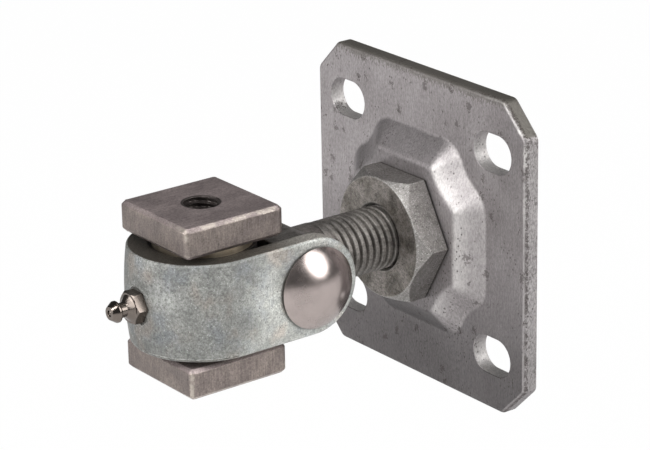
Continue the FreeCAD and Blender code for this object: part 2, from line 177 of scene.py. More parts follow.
class Tree:
    """Adds nodes to one node tree."""

    def __init__(self, tree):
        self.tree = tree

    def node(self, kind, settings=None, sockets=None, output=0):
        """Adds a node, sets it up before its sockets are filled, and returns one of its outputs."""
        made = self.tree.nodes.new(kind)
        for name, value in (settings or {}).items():
            setattr(made, name, value)
        for name, value in (sockets or {}).items():
            if isinstance(value, Wire):
                self.tree.links.new(value.socket, made.inputs[name])
            else:
                made.inputs[name].default_value = value
        return Wire(self, made.outputs[output]) if made.outputs else None


print("node language ready")

# %% [markdown]
# ## Taking a clean copy of a machined piece
#
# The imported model's meshes are triangles. A copy is welded, the triangles of its flat areas are
# joined into single faces if asked, and a narrow bevel breaks the edges as tumbling and plating
# do on real metal. The bent strap and the drilled blocks keep their triangles, which bevel more
# cleanly there. Weighted normals then keep the flats flat while the bevels catch the light. The
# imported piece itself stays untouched: the copy stands for it.

# %% A helper that makes such a copy
SHARP_ANGLE = math.radians(28)
FLAT_ANGLE = math.radians(0.3)
WELD_DISTANCE = 0.002 * MM
BEVEL_SEGMENTS = 2


def new_piece(name, mesh):
    """An object at the origin that holds a mesh."""
    piece = bpy.data.objects.new(name, mesh)
    bpy.context.scene.collection.objects.link(piece)
    return piece


def welded(mesh, spared=lambda middle: False, joined=True):
    """Merges a mesh's doubled points, joins the triangles of its flat areas if asked, and marks
    the sharp edges that a bevel takes: all but those whose middle is spared."""
    shape = bmesh.new()
    shape.from_mesh(mesh)
    bmesh.ops.remove_doubles(shape, verts=shape.verts, dist=WELD_DISTANCE)
    if joined:
        bmesh.ops.dissolve_limit(shape, angle_limit=FLAT_ANGLE, verts=shape.verts, edges=shape.edges)
    marks = shape.edges.layers.float.new("bevel_weight_edge")
    for edge in shape.edges:
        middle = (edge.verts[0].co + edge.verts[1].co) / 2
        edge[marks] = edge.calc_face_angle(0) > SHARP_ANGLE and not spared(middle)
    for face in shape.faces:
        face.smooth = True
    shape.to_mesh(mesh)
    shape.free()


def soften(piece, width):
    """Breaks a piece's marked edges by a bevel of a width, and keeps its flats flat."""
    bevel = piece.modifiers.new("worn edges", "BEVEL")
    bevel.width, bevel.segments, bevel.limit_method = width, BEVEL_SEGMENTS, "WEIGHT"
    bevel.use_clamp_overlap = False
    normals = piece.modifiers.new("flat flats", "WEIGHTED_NORMAL")
    normals.keep_sharp = True


def baked(piece):
    """Turns a piece and its modifiers into one plain mesh."""
    ready = piece.evaluated_get(bpy.context.evaluated_depsgraph_get())
    mesh = bpy.data.meshes.new_from_object(ready)
    piece.modifiers.clear()
    piece.data = mesh
    return piece


def machined(node, name, width, spared=lambda middle: False, joined=True):
    """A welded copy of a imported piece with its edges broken."""
    mesh = nodes[node].data.copy()
    welded(mesh, spared, joined)
    piece = new_piece(name, mesh)
    soften(piece, width)
    return piece


print("copies keep bevels on edges sharper than", round(math.degrees(SHARP_ANGLE)), "degrees")

# %% [markdown]
# ## Screw threads
#
# A thread is one rule: the surface's distance from the axis depends only on how far along and
# how far round a point is. So Geometry Nodes bend a flat grid into a tube, one way running along
# the rod and the other round it. A triangle wave, cut flat at crest and root, gives the groove,
# and adding the angle to it makes it climb by one pitch a turn. Towards the neck the groove runs
# out over about one pitch, as a die leaves it. The first and last rows fall to the axis, which
# closes the ends. The same tree makes the rod's coarse thread and the tap that cuts the blocks'
# threads.

# %% The thread tree
THREAD_INPUTS = (
    ("Length", "NodeSocketFloat"), ("Pitch", "NodeSocketFloat"), ("Crest Radius", "NodeSocketFloat"),
    ("Depth", "NodeSocketFloat"), ("End Bevel", "NodeSocketFloat"), ("Run Out", "NodeSocketFloat"),
    ("Rings", "NodeSocketInt"), ("Sides", "NodeSocketInt"), ("Material", "NodeSocketMaterial"))
ROOT_FLAT, CREST_FLAT = 0.08, 0.48
RINGS_PER_PITCH = 18
SIDES = 97


def thread_tree():
    """A node group that bends a grid into a threaded tube along X."""
    group = bpy.data.node_groups.new("thread", "GeometryNodeTree")
    group.interface.new_socket("Geometry", in_out="OUTPUT", socket_type="NodeSocketGeometry")
    for name, kind in THREAD_INPUTS:
        group.interface.new_socket(name, in_out="INPUT", socket_type=kind)
    tree = Tree(group)
    given = group.nodes.new("NodeGroupInput")
    size = {name: Wire(tree, given.outputs[name]) for name, _ in THREAD_INPUTS}
    last = size["Rings"] - 1
    grid = tree.node("GeometryNodeMeshGrid", {}, {
        "Size X": last, "Size Y": math.tau, "Vertices X": size["Rings"], "Vertices Y": size["Sides"]})
    place = tree.node("GeometryNodeInputPosition")
    row = tree.node("ShaderNodeSeparateXYZ", {}, {0: place}, "X") + last / 2
    angle = tree.node("ShaderNodeSeparateXYZ", {}, {0: place}, "Y")
    along = ((row - 1) / (last - 2)).most(0).least(1) * size["Length"]
    phase = (along / size["Pitch"] - angle / math.tau).math("FRACT")
    wave = (phase * 2 - 1).math("ABSOLUTE")
    height = ((wave - ROOT_FLAT) / (1 - ROOT_FLAT - CREST_FLAT)).most(0).least(1)
    cut = ((size["Length"] - size["Run Out"] - along) / size["Pitch"] + 0.001).most(0).least(1)
    grooved = size["Crest Radius"] - size["Depth"] * (1 - height) * cut
    from_end = along.least(size["Length"] - along)
    bevelled = size["Crest Radius"] - (size["End Bevel"] - from_end).most(0)
    inside = row.math("GREATER_THAN", 0.5) * (last - row).math("GREATER_THAN", 0.5)
    radius = grooved.least(bevelled) * inside
    bent = tree.node("ShaderNodeCombineXYZ", {}, {
        "X": along, "Y": radius * angle.math("COSINE"), "Z": radius * angle.math("SINE")})
    tube = tree.node("GeometryNodeSetPosition", {}, {"Geometry": grid, "Position": bent})
    closed = tree.node("GeometryNodeMergeByDistance", {}, {
        "Geometry": tube, "Distance": WELD_DISTANCE / 2})
    smooth = tree.node("GeometryNodeSetShadeSmooth", {}, {"Geometry": closed})
    real = tree.node("GeometryNodeRealizeInstances", {}, {"Geometry": smooth})
    finished = tree.node("GeometryNodeSetMaterial", {}, {"Geometry": real, "Material": size["Material"]})
    result = group.nodes.new("NodeGroupOutput")
    group.links.new(finished.socket, result.inputs["Geometry"])
    return group


def outward(mesh):
    """Turns all faces of a closed mesh outwards."""
    shape = bmesh.new()
    shape.from_mesh(mesh)
    bmesh.ops.recalc_face_normals(shape, faces=shape.faces)
    shape.to_mesh(mesh)
    shape.free()


def thread(name, length, pitch, crest, depth, bevel, run_out, material):
    """A threaded bar along X from the origin, as a plain mesh object."""
    piece = new_piece(name, bpy.data.meshes.new(name))
    modifier = piece.modifiers.new("thread", "NODES")
    modifier.node_group = THREAD
    rings = round(length / pitch * RINGS_PER_PITCH) + 3
    given = dict(zip((entry[0] for entry in THREAD_INPUTS),
                     (length, pitch, crest, depth, bevel, run_out, rings, SIDES, material)))
    for item in THREAD.interface.items_tree:
        if item.in_out == "INPUT":
            modifier[item.identifier] = given[item.name]
    baked(piece)
    outward(piece.data)
    print(name, "rings:", rings, "faces:", len(piece.data.polygons))
    return piece


THREAD = thread_tree()
print("thread nodes:", len(THREAD.nodes))

# %% [markdown]
# ## Metals from measured ingredients
#
# All the metals share one recipe. A base colour is broken up by soft clouds at the size of the
# piece and by a fine speckle at the size of the grain. A roughness varies with the same clouds.
# Edges are found by comparing the surface's normal with a rounded one, and they are rubbed
# brighter. Seams and pockets are found by how much sky they see, and they are painted dark as
# shade. Wear, painted shade and painted light that belong to one spot are masks from where the
# surface is and which way it faces.
# Every pattern reads Object coordinates in metres, so its scale is real.

# %% Ingredients of the metals
def material(name):
    """A new empty material and its tree, with a Principled shader at its output."""
    made = bpy.data.materials.new(name)
    made.use_nodes = True
    made.node_tree.nodes.clear()
    tree = Tree(made.node_tree)
    shader = tree.node("ShaderNodeBsdfPrincipled")
    tree.node("ShaderNodeOutputMaterial", {}, {"Surface": shader})
    return made, tree, shader.socket.node


def place_of(tree, stretch=(1, 1, 1), move=(0, 0, 0)):
    """Object coordinates, scaled along each axis."""
    where = tree.node("ShaderNodeTexCoord", output="Object")
    return tree.node("ShaderNodeMapping", {}, {"Vector": where, "Scale": stretch, "Location": move})


def clouds(tree, size, detail=3.0, roughness=0.55, stretch=(1, 1, 1), move=(0, 0, 0), twist=0.0):
    """Soft noise from 0 to 1 whose lumps are about a size across."""
    return tree.node("ShaderNodeTexNoise", {}, {
        "Vector": place_of(tree, stretch, move), "Scale": 1 / size, "Detail": detail,
        "Roughness": roughness, "Distortion": twist})


def grains(tree, size, detail=3.0, stretch=(1, 1, 1), move=(0, 0, 0)):
    """Fine noise that spans the whole way from 0 to 1."""
    return clouds(tree, size, detail, 0.75, stretch, move).ramp(0.32, 0.68)


def cells(tree, size, stretch=(1, 1, 1), move=(0, 0, 0)):
    """Distance to the nearest of many scattered points, in cell sizes."""
    return tree.node("ShaderNodeTexVoronoi", {}, {
        "Vector": place_of(tree, stretch, move), "Scale": 1 / size}, "Distance")


def part_of_place(tree, axis):
    """One Object coordinate, in metres."""
    where = tree.node("ShaderNodeTexCoord", output="Object")
    return tree.node("ShaderNodeSeparateXYZ", {}, {0: where}, axis)


def distance_to(tree, point):
    """Distance from a point of the piece, in metres."""
    return tree.node("ShaderNodeVectorMath", {"operation": "DISTANCE"},
                     {0: place_of(tree), 1: point}, "Value")


def near(tree, point, reach):
    """1 at a point of the piece and 0 beyond a reach, in metres."""
    return distance_to(tree, point).ramp(reach, reach * 0.15)


def facing(tree, axis):
    """How far the surface faces along one of the piece's own axes, from -1 to 1."""
    normal = tree.node("ShaderNodeTexCoord", output="Normal")
    return tree.node("ShaderNodeSeparateXYZ", {}, {0: normal}, axis)


def blend(tree, mask, low, high):
    """Mixes two colours by a mask."""
    return tree.node("ShaderNodeMix", {"data_type": "RGBA"}, {0: mask, 6: low, 7: high}, 2)


def shade(tree, colour, factor):
    """Multiplies a colour by one number per point."""
    grey = tree.node("ShaderNodeCombineColor", {}, {0: factor, 1: factor, 2: factor})
    return tree.node("ShaderNodeMix", {"data_type": "RGBA", "blend_type": "MULTIPLY"},
                     {0: 1.0, 6: colour, 7: grey}, 2)


def edges(tree, radius):
    """1 near outward edges and 0 on flats, from a rounded normal."""
    rounded = tree.node("ShaderNodeBevel", {"samples": 6}, {"Radius": radius})
    normal = tree.node("ShaderNodeNewGeometry", output="Normal")
    likeness = tree.node("ShaderNodeVectorMath", {"operation": "DOT_PRODUCT"},
                         {0: rounded, 1: normal}, "Value")
    return likeness.ramp(0.995, 0.93)


def pocket_shade(tree, distance):
    """1 deep in seams and 0 in the open: a mask of painted shade."""
    sky = tree.node("ShaderNodeAmbientOcclusion", {"samples": 8}, {"Distance": distance}, "AO")
    return sky.ramp(0.75, 0.25)


def bump(tree, height, strength, distance):
    """A bumped normal from a height."""
    return tree.node("ShaderNodeBump", {}, {
        "Height": height, "Strength": strength, "Distance": distance}, "Normal")


def coloured(red, green, blue):
    """A linear colour with full alpha."""
    return (red, green, blue, 1.0)


def connect(tree, shader, sockets):
    """Sets or links the sockets of a shader."""
    for name, value in sockets.items():
        if isinstance(value, Wire):
            tree.tree.links.new(value.socket, shader.inputs[name])
        else:
            shader.inputs[name].default_value = value


print("ingredients ready")

# %% [markdown]
# ## Zinc-plated plate
#
# The plate is pressed from hot-rolled sheet and plated, so it is matt and slightly pink-grey.
# The rolling scale shows through as dark specks, streaks and short scratches. The sheared edge
# is pitted, rubbed to bright metal on the pivot's side and dark along the top. Shade is painted
# into the sheet: it is darker low down, toward the far side, under the pad's walls, on the pad's
# upward walls and above the nut, and its seams are painted dark. The raised pad is lighter, and
# the pad's scooped corners and the bores of the slots carry painted highlights.

# %% Material of the plate
PLATE_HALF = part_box("mounting_plate")[1].y
PLATE_CORNER = 10 * MM


def plate_inset(tree):
    """Distance in from the plate's outline, with its cut corners."""
    across = part_of_place(tree, "Y").math("ABSOLUTE")
    tall = part_of_place(tree, "Z").math("ABSOLUTE")
    corner = (2 * PLATE_HALF - PLATE_CORNER - across - tall) / math.sqrt(2)
    return (PLATE_HALF - across.most(tall)).least(corner)


def plate_tone(tree, outer, raised):
    """The share of its brightness that the sheet keeps at each place, with shade painted in."""
    # Painted shade: darker toward the bottom, on downward faces, on the pad's upward walls, above the nut
    # and toward the far side. The raised pad is lighter.
    low = part_of_place(tree, "Z").ramp(8 * MM, -46 * MM) * (1 - facing(tree, "Y").ramp(0.05, 0.3) * 0.75)
    under = facing(tree, "Z").ramp(-0.15, -0.6) * facing(tree, "Y").ramp(0.35, 0.1)
    ledge = (facing(tree, "Z").ramp(0.0, 0.55) * facing(tree, "Y").ramp(0.4, 0.15)
             * facing(tree, "X").ramp(0.15, 0.35) * (1 - outer))
    dark_above_nut = (raised * part_of_place(tree, "Z").ramp(9 * MM, 20 * MM)
             * part_of_place(tree, "Y").ramp(20 * MM, 6 * MM))
    far_side_shade = part_of_place(tree, "Y").ramp(28 * MM, 44 * MM)
    return ((1 - low * 0.56) * (1 - under * 0.35) * (1 - (ledge * 0.34).most(dark_above_nut * 0.30))
            * (raised * 0.14 + 1) * (1 - far_side_shade * 0.14))


def plate_painted_highlights(tree, outer, raised):
    """Masks of painted highlights on the pad's scooped corners and the slots' bores, where they face the
    light.
    """
    scoop_highlight = facing(tree, "Y").ramp(0.03, 0.45) * facing(tree, "Z").ramp(-0.6, -0.1) * raised.most(0.3)
    lit = (facing(tree, "Y").ramp(-0.2, 0.5) * facing(tree, "Z").ramp(-0.7, 0.3)).most(
        facing(tree, "Z").ramp(0.1, 0.6))
    bore = facing(tree, "X").math("ABSOLUTE").ramp(0.35, 0.15) * (1 - outer) * lit
    return scoop_highlight, bore


def plate_marks(tree, crowd):
    """Masks of the rolling scale: specks, scratches and long dark marks."""
    speck = cells(tree, 1.1 * MM, stretch=(1, 1, 0.7)).ramp(0.28, 0.12) * crowd.ramp(0.50, 0.60)
    scratch = (clouds(tree, 1.2 * MM, 3, 0.6, stretch=(1, 1, 0.4), twist=1.0).ramp(0.64, 0.69)
               * clouds(tree, 9 * MM, 2, move=(0.3, 0.1, 0.7)).ramp(0.48, 0.58))
    ragged = (grains(tree, 1.1 * MM) - 0.5) * 0.3
    mark = (cells(tree, 6.5 * MM, stretch=(0.3, 1, 0.7)) + ragged).ramp(0.17, 0.09)
    return speck, scratch, mark


def plate_metal():
    """Matt plated sheet with rolling scale and worn edges."""
    made, tree, shader = material("plate steel")
    inset = plate_inset(tree)
    outer = inset.ramp(3 * MM, 1.5 * MM)
    raised = part_of_place(tree, "X").ramp(RIM_FRONT + 1 * MM, RIM_FRONT + 6 * MM)
    scoop_highlight, bore = plate_painted_highlights(tree, outer, raised)
    soft = clouds(tree, 14 * MM, 4)
    grain = grains(tree, 0.55 * MM, stretch=(1, 1, 0.45))
    comb = grains(tree, 0.5 * MM, 2, stretch=(1, 1, 0.05))
    crowd = clouds(tree, 8 * MM, 3)
    speck, scratch, mark = plate_marks(tree, crowd)

    edge_line = inset + (RIM_FRONT - part_of_place(tree, "X")).most(0)
    ragged = edge_line + (grain - 0.5) * 0.9 * MM
    side = part_of_place(tree, "Y").ramp(15 * MM, 38 * MM)
    shoulder = side * part_of_place(tree, "Z").ramp(-5 * MM, 32 * MM)
    flank = facing(tree, "Y").ramp(0.6, 0.85) * outer
    top = facing(tree, "Z").ramp(0.45, 0.75) * outer
    from_top = PLATE_HALF - part_of_place(tree, "Z")
    brow = (from_top + (grain + crowd - 1) * 2.4 * MM).ramp(2.9 * MM, 1.1 * MM)
    pitted = (ragged.ramp(0.35 * MM, 0.7 * MM) * ragged.ramp(1.6 * MM, 1.0 * MM)
              * facing(tree, "X").ramp(0.9, 0.6)
              * clouds(tree, 1.3 * MM, 3, 0.7, stretch=(0.3, 1, 0.7)).ramp(0.38, 0.52))
    worn = ragged.ramp(1.2 * MM, 0.7 * MM) * shoulder * crowd.ramp(0.36, 0.54)
    rub = edges(tree, 0.9 * MM) * outer * clouds(tree, 1.4 * MM, 3, 0.7).ramp(0.42, 0.62)
    seam_shade = pocket_shade(tree, 3 * MM)

    colour = blend(tree, soft.ramp(0.35, 0.68),
                   coloured(0.315, 0.290, 0.292), coloured(0.375, 0.349, 0.352))
    texture = grain * (flank * 0.5 + 0.36) + comb * 0.14 + 0.74 - flank * 0.25
    colour = shade(tree, colour, texture * plate_tone(tree, outer, raised))
    # Edge wear, and painted highlights on the pad's scooped corners and the slots' bores.
    rub_and_highlight = (rub * shoulder.most(0.15) * 0.5).most(worn * 0.7)
    wear_and_painted_highlights = rub_and_highlight.most((scoop_highlight * 0.62).most(bore * 0.6) * (grain * 0.6 + 0.6))
    colour = blend(tree, wear_and_painted_highlights, colour, coloured(0.70, 0.68, 0.66))
    colour = blend(tree, (top * 0.85).most(brow * 0.6), colour, coloured(0.135, 0.125, 0.105))
    # Scale marks, the pitted edge, and painted shade in the seams.
    dark = speck * 0.8 + (scratch * 0.7).most(mark * 0.55) + seam_shade * 0.5 + pitted * side * 0.8
    dark = dark.least(0.85)
    colour = blend(tree, dark, colour, coloured(0.075, 0.062, 0.058))
    height = grain * 0.35 + comb * 0.15 + soft * 0.3 - speck - scratch * 0.8 - pitted
    connect(tree, shader, {
        "Base Color": colour, "Metallic": 0.75,
        "Roughness": soft * 0.2 + 0.40 + dark * 0.2 - (rub * 0.1).most(scoop_highlight * 0.08),
        "Normal": bump(tree, height, 0.6, 0.14 * MM)})
    return made


print("plate half width in mm:", round(PLATE_HALF / MM, 2))

# %% [markdown]
# ## Turned and oiled nut
#
# The nut's face was turned in a lathe, so faint rings run round the hole, under a dark oily film
# that is worn off the bevel and the flats. On the side toward the key light the bevel also carries
# a painted highlight, and painted glints lie on the bevel and the face. The seam between the nut
# and the pad is painted dark as shadow.

# %% Material of the nut
PAD_FRONT = 11.0 * MM


def nut_metal():
    """Turned, oily face and brighter flats."""
    made, tree, shader = material("nut steel")
    side = part_of_place(tree, "Y")
    high = part_of_place(tree, "Z")
    radius = (side * side + high * high).math("SQRT")
    wobble = clouds(tree, 4 * MM, 2)
    rings = ((radius / (0.5 * MM) + wobble * 1.6) * math.tau).math("SINE") * 0.5 + 0.5
    front = facing(tree, "X").ramp(0.93, 0.985)
    # Painted highlight: the bevel is lighter on the side toward the key light.
    bevel = facing(tree, "X").ramp(0.25, 0.45) * (1 - front) * side.ramp(-2 * MM, 10 * MM)
    # Painted shadow: a dark line where the nut meets the pad.
    seam_shadow = part_of_place(tree, "X").ramp(PAD_FRONT + 0.85 * MM, PAD_FRONT + 0.55 * MM)
    soft = clouds(tree, 6 * MM, 4)
    grain = grains(tree, 0.55 * MM)
    mottle = grains(tree, 1.6 * MM, 5, move=(0.5, 0.1, 0.3))
    crowd = clouds(tree, 3.5 * MM, 2)
    speck = cells(tree, 0.9 * MM).ramp(0.34, 0.12) * crowd.ramp(0.46, 0.58)
    # Painted glints on the bevel and the face.
    glint = (clouds(tree, 0.5 * MM, 2, 0.8, move=(0.2, 0.4, 0.6)).ramp(0.54, 0.64)
             * (0.45 + bevel * 0.5 - front * 0.3))
    rub = edges(tree, 0.9 * MM) * clouds(tree, 1.0 * MM, 3).ramp(0.32, 0.55)

    face = blend(tree, soft.ramp(0.35, 0.65), coloured(0.125, 0.112, 0.097), coloured(0.27, 0.246, 0.226))
    flats = blend(tree, soft.ramp(0.3, 0.7), coloured(0.285, 0.268, 0.255), coloured(0.37, 0.350, 0.335))
    colour = blend(tree, front, flats, face)
    colour = shade(tree, colour, (grain * 0.55 + mottle * 0.65) * (front * 0.6 + 0.4) + 0.52
                   + (rings - 0.5) * front * 0.25)
    colour = blend(tree, (rub * 0.8).most(glint).most(bevel * 0.10), colour, coloured(0.60, 0.585, 0.56))
    colour = blend(tree, (speck * 0.8).most(seam_shadow * 0.9), colour, coloured(0.05, 0.045, 0.04))
    connect(tree, shader, {
        "Base Color": colour, "Metallic": 0.85, "Roughness": soft * 0.15 + 0.38 - rub * 0.1,
        "Normal": bump(tree, rings * front * 0.4 + grain * 0.6 - speck, 0.6, 0.1 * MM)})
    return made


print("front of the pad in mm:", round(PAD_FRONT / MM, 2))

# %% [markdown]
# ## Cut and oiled rod
#
# The rod's thread is cut steel with dark oil in the roots and bright crests. Only the distance
# from the axis can tell the two apart, so the mask is a ramp between root and crest.

# %% Material of the rod
CREST_RADIUS = 9.85 * MM
ROOT_DEPTH = 1.1 * MM


def rod_metal():
    """Dark oiled steel with brighter crests."""
    made, tree, shader = material("rod steel")
    side = part_of_place(tree, "Y")
    high = part_of_place(tree, "Z")
    radius = (side * side + high * high).math("SQRT")
    crest = radius.ramp(CREST_RADIUS - ROOT_DEPTH * 0.55, CREST_RADIUS - ROOT_DEPTH * 0.05)
    soft = clouds(tree, 6 * MM, 3)
    grain = grains(tree, 0.6 * MM)
    rub = crest * clouds(tree, 1.5 * MM, 3, stretch=(0.3, 1, 1)).ramp(0.3, 0.7)
    colour = blend(tree, soft.ramp(0.35, 0.65), coloured(0.13, 0.12, 0.11), coloured(0.22, 0.205, 0.19))
    colour = blend(tree, rub * 0.7, colour, coloured(0.30, 0.28, 0.262))
    colour = shade(tree, colour, grain * 0.5 + 0.7)
    connect(tree, shader, {
        "Base Color": colour, "Metallic": 0.85, "Roughness": soft * 0.15 + 0.40,
        "Normal": bump(tree, grain, 0.5, 0.08 * MM)})
    return made


print("thread depth in mm:", round(ROOT_DEPTH / MM, 2))

# %% [markdown]
# ## Galvanised strap
#
# The strap is dull galvanised bar with a fine sparkle and blue-grey with a warm patch. A painted
# highlight lies in one spot beside the nipple, and the straight sides are painted lighter, where
# more light falls. Its upper and lower edges are painted dark as shade, as under the blocks, and
# lighter on the ears. Its seams, such as round the rivet, are painted dark as shade.

# %% Material of the strap
block_low, block_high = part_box("upper_block")
PIVOT_X = (block_low.x + block_high.x) / 2
HIGHLIGHT_PATCH = (PIVOT_X + 22 * MM, 10 * MM, 5 * MM)


def strap_metal():
    """Blue-grey zinc with sparkle and pits."""
    made, tree, shader = material("galvanised strap")
    soft = clouds(tree, 15 * MM, 4, move=(0.1, 0, 0.02))
    warm = clouds(tree, 11 * MM, 3, move=(0.52, 0.31, 0.4)).ramp(0.5, 0.68)
    cool = clouds(tree, 8 * MM, 3, move=(0.9, 0.7, 0.1)).ramp(0.5, 0.7)
    grain = grains(tree, 0.5 * MM)
    flecks = clouds(tree, 1.0 * MM, 3, 0.7, move=(0.3, 0.8, 0.2))
    # Painted highlight: a bright patch beside the nipple.
    rub_and_highlight = near(tree, HIGHLIGHT_PATCH, 8 * MM) * flecks.ramp(0.36, 0.62)
    sparkle = cells(tree, 0.7 * MM).ramp(0.24, 0.08) * flecks.ramp(0.46, 0.60)
    pit = cells(tree, 1.3 * MM, move=(0.4, 0.2, 0.9)).ramp(0.2, 0.08) * soft.ramp(0.5, 0.6)
    top = facing(tree, "Z").math("ABSOLUTE").ramp(0.72, 0.92)
    ears = part_of_place(tree, "X").ramp(PIVOT_X - 6 * MM, PIVOT_X - 24 * MM)
    # Painted light: the straight sides are lighter than the nose.
    straight_lit = part_of_place(tree, "X").ramp(PIVOT_X + 8 * MM, PIVOT_X - 8 * MM)
    rub = edges(tree, 0.6 * MM) * clouds(tree, 1.1 * MM, 3, 0.7).ramp(0.36, 0.6) * (1 - top)
    colour = blend(tree, soft.ramp(0.35, 0.66),
                   coloured(0.265, 0.270, 0.258), coloured(0.41, 0.415, 0.392))
    colour = blend(tree, warm * 0.55, colour, coloured(0.40, 0.345, 0.30))
    colour = blend(tree, cool * 0.45, colour, coloured(0.32, 0.345, 0.375))
    # Painted shade on the upper and lower edges, lighter on the ears.
    top_rim_shade = blend(tree, ears, coloured(0.115, 0.105, 0.09), coloured(0.30, 0.285, 0.26))
    colour = blend(tree, top, colour, top_rim_shade)
    rough = flecks.ramp(0.35, 0.65)
    texture = grain * (soft * 0.9) + rough * 0.32 + 0.50
    colour = shade(tree, colour, texture * (0.79 + straight_lit * 0.71))
    # Sparkle of the zinc, and the painted highlight beside the nipple.
    sparkle_and_highlight = (sparkle * 0.7).most(rub_and_highlight * 0.22) * (1 - top)
    colour = blend(tree, sparkle_and_highlight, colour, coloured(0.80, 0.81, 0.80))
    colour = blend(tree, rub * 0.7, colour, coloured(0.72, 0.72, 0.68))
    # Pits, and painted shade in seams such as round the rivet.
    dark = (pit * 0.6).most(pocket_shade(tree, 2 * MM) * 0.85)
    colour = blend(tree, dark, colour, coloured(0.08, 0.078, 0.072))
    connect(tree, shader, {
        "Base Color": colour, "Metallic": 0.7, "Roughness": soft * 0.15 + 0.42 - sparkle * 0.12,
        "Normal": bump(tree, grain * 0.6 + flecks + soft * 0.6 - pit, 0.8, 0.12 * MM)})
    return made


print("pivot axis at x in mm:", round(PIVOT_X / MM, 2))

# %% [markdown]
# ## Bare blocks
#
# The blocks are cut from drawn bar and left bare for welding: a grain runs up their sides, the
# edges that face the front are rubbed bright and the threaded hole is painted dark as shade. One
# side of the lower block is painted lighter, as light from the floor falls on it.

# %% Material of the blocks
BLOCK_HALF = block_high.y


def block_metal():
    """Bare drawn bar with a grain along it and rubbed edges."""
    made, tree, shader = material("drawn block steel")
    soft = clouds(tree, 9 * MM, 4)
    upright = 1 - facing(tree, "Z").math("ABSOLUTE").ramp(0.5, 0.85)
    streak = grains(tree, 0.55 * MM, stretch=(1, 1, 0.12))
    lines = grains(tree, 0.5 * MM, stretch=(0.12, 1, 1))
    grain = grains(tree, 0.5 * MM)
    inset = [half - place.math("ABSOLUTE") for half, place in (
        (BLOCK_HALF, part_of_place(tree, "X") - PIVOT_X), (BLOCK_HALF, part_of_place(tree, "Y")),
        (block_high.z, part_of_place(tree, "Z")))]
    edge_line = inset[0].least(inset[1]).most(inset[0].most(inset[1]).least(inset[2]))
    ragged = edge_line + (grain - 0.5) * 0.7 * MM
    rub = (ragged.ramp(1.35 * MM, 0.8 * MM) * part_of_place(tree, "Y").ramp(6 * MM, 16 * MM)
           * clouds(tree, 5 * MM, 3, 0.6, move=(0.2, 0.2, 0.2)).ramp(0.40, 0.58))
    axis = tree.node("ShaderNodeCombineXYZ", {}, {
        "X": PIVOT_X, "Y": 0.0, "Z": part_of_place(tree, "Z")})
    bore = distance_to(tree, axis).ramp(6.1 * MM, 5.8 * MM)
    scuff = (clouds(tree, 1.1 * MM, 3, 0.7, stretch=(1, 1, 0.3), twist=0.7).ramp(0.64, 0.72)
             * soft.ramp(0.46, 0.6))
    sides = blend(tree, soft.ramp(0.3, 0.7), coloured(0.17, 0.142, 0.133), coloured(0.25, 0.212, 0.190))
    ends = blend(tree, soft.ramp(0.3, 0.7), coloured(0.33, 0.275, 0.272), coloured(0.42, 0.352, 0.345))
    colour = blend(tree, upright, ends, sides)
    # Painted light: the lower block's side toward +Y is lighter, as light from the floor falls on it.
    floor_lit_side = facing(tree, "Y").ramp(0.4, 0.8) * part_of_place(tree, "Z").ramp(0, -15 * MM)
    texture = (streak * upright + lines * (1 - upright)) * 0.34 + grain * 0.46 + 0.60
    colour = shade(tree, colour, texture * (floor_lit_side * 0.24 + 1))
    # Dark scuffs, and painted shade in the threaded hole.
    colour = blend(tree, (scuff * 0.6).most(bore * 0.85), colour, coloured(0.06, 0.052, 0.048))
    colour = blend(tree, rub * 0.7, colour, coloured(0.60, 0.54, 0.47))
    height = streak * upright * 0.6 + grain * 0.5 + lines * (1 - upright) * 0.2 - scuff * 0.5
    connect(tree, shader, {
        "Base Color": colour, "Metallic": 0.8,
        "Roughness": soft * 0.15 + 0.38 - (rub * 0.1).most(bore * 0.14),
        "Normal": bump(tree, height, 0.5, 0.09 * MM)})
    return made


print("block half width in mm:", round(BLOCK_HALF / MM, 2))

# %% [markdown]
# ## Polished and hidden metals
#
# The rivet's head and the nipple are bright plated, with a faint orange peel and a few fine
# rubs. The pieces that hardly show, such as the sleeve, the pin, the washer and the springs,
# still get a ground, oiled or bronze finish of their own from one common recipe. The bronze
# flange between block and strap shows, so it carries painted shade in its pockets and on its
# faces toward +X, where the block shadows it.

# %% Materials of the bright and the hidden pieces
def bright_metal(name, colour, roughness):
    """Polished plating with a faint unevenness."""
    made, tree, shader = material(name)
    peel = clouds(tree, 1.6 * MM, 2)
    rubs = clouds(tree, 0.5 * MM, 3, 0.8, stretch=(1, 0.3, 1))
    haze = clouds(tree, 6 * MM, 3).ramp(0.4, 0.7)
    tarnished = coloured(*(channel * 0.9 for channel in colour))
    plating = blend(tree, haze, coloured(*colour), tarnished)
    connect(tree, shader, {
        "Base Color": shade(tree, plating, rubs * 0.16 + 0.92),
        "Metallic": 1.0, "Roughness": haze * 0.06 + roughness + rubs * 0.05,
        "Normal": bump(tree, peel + rubs * 0.3, 0.12, 0.05 * MM)})
    return made


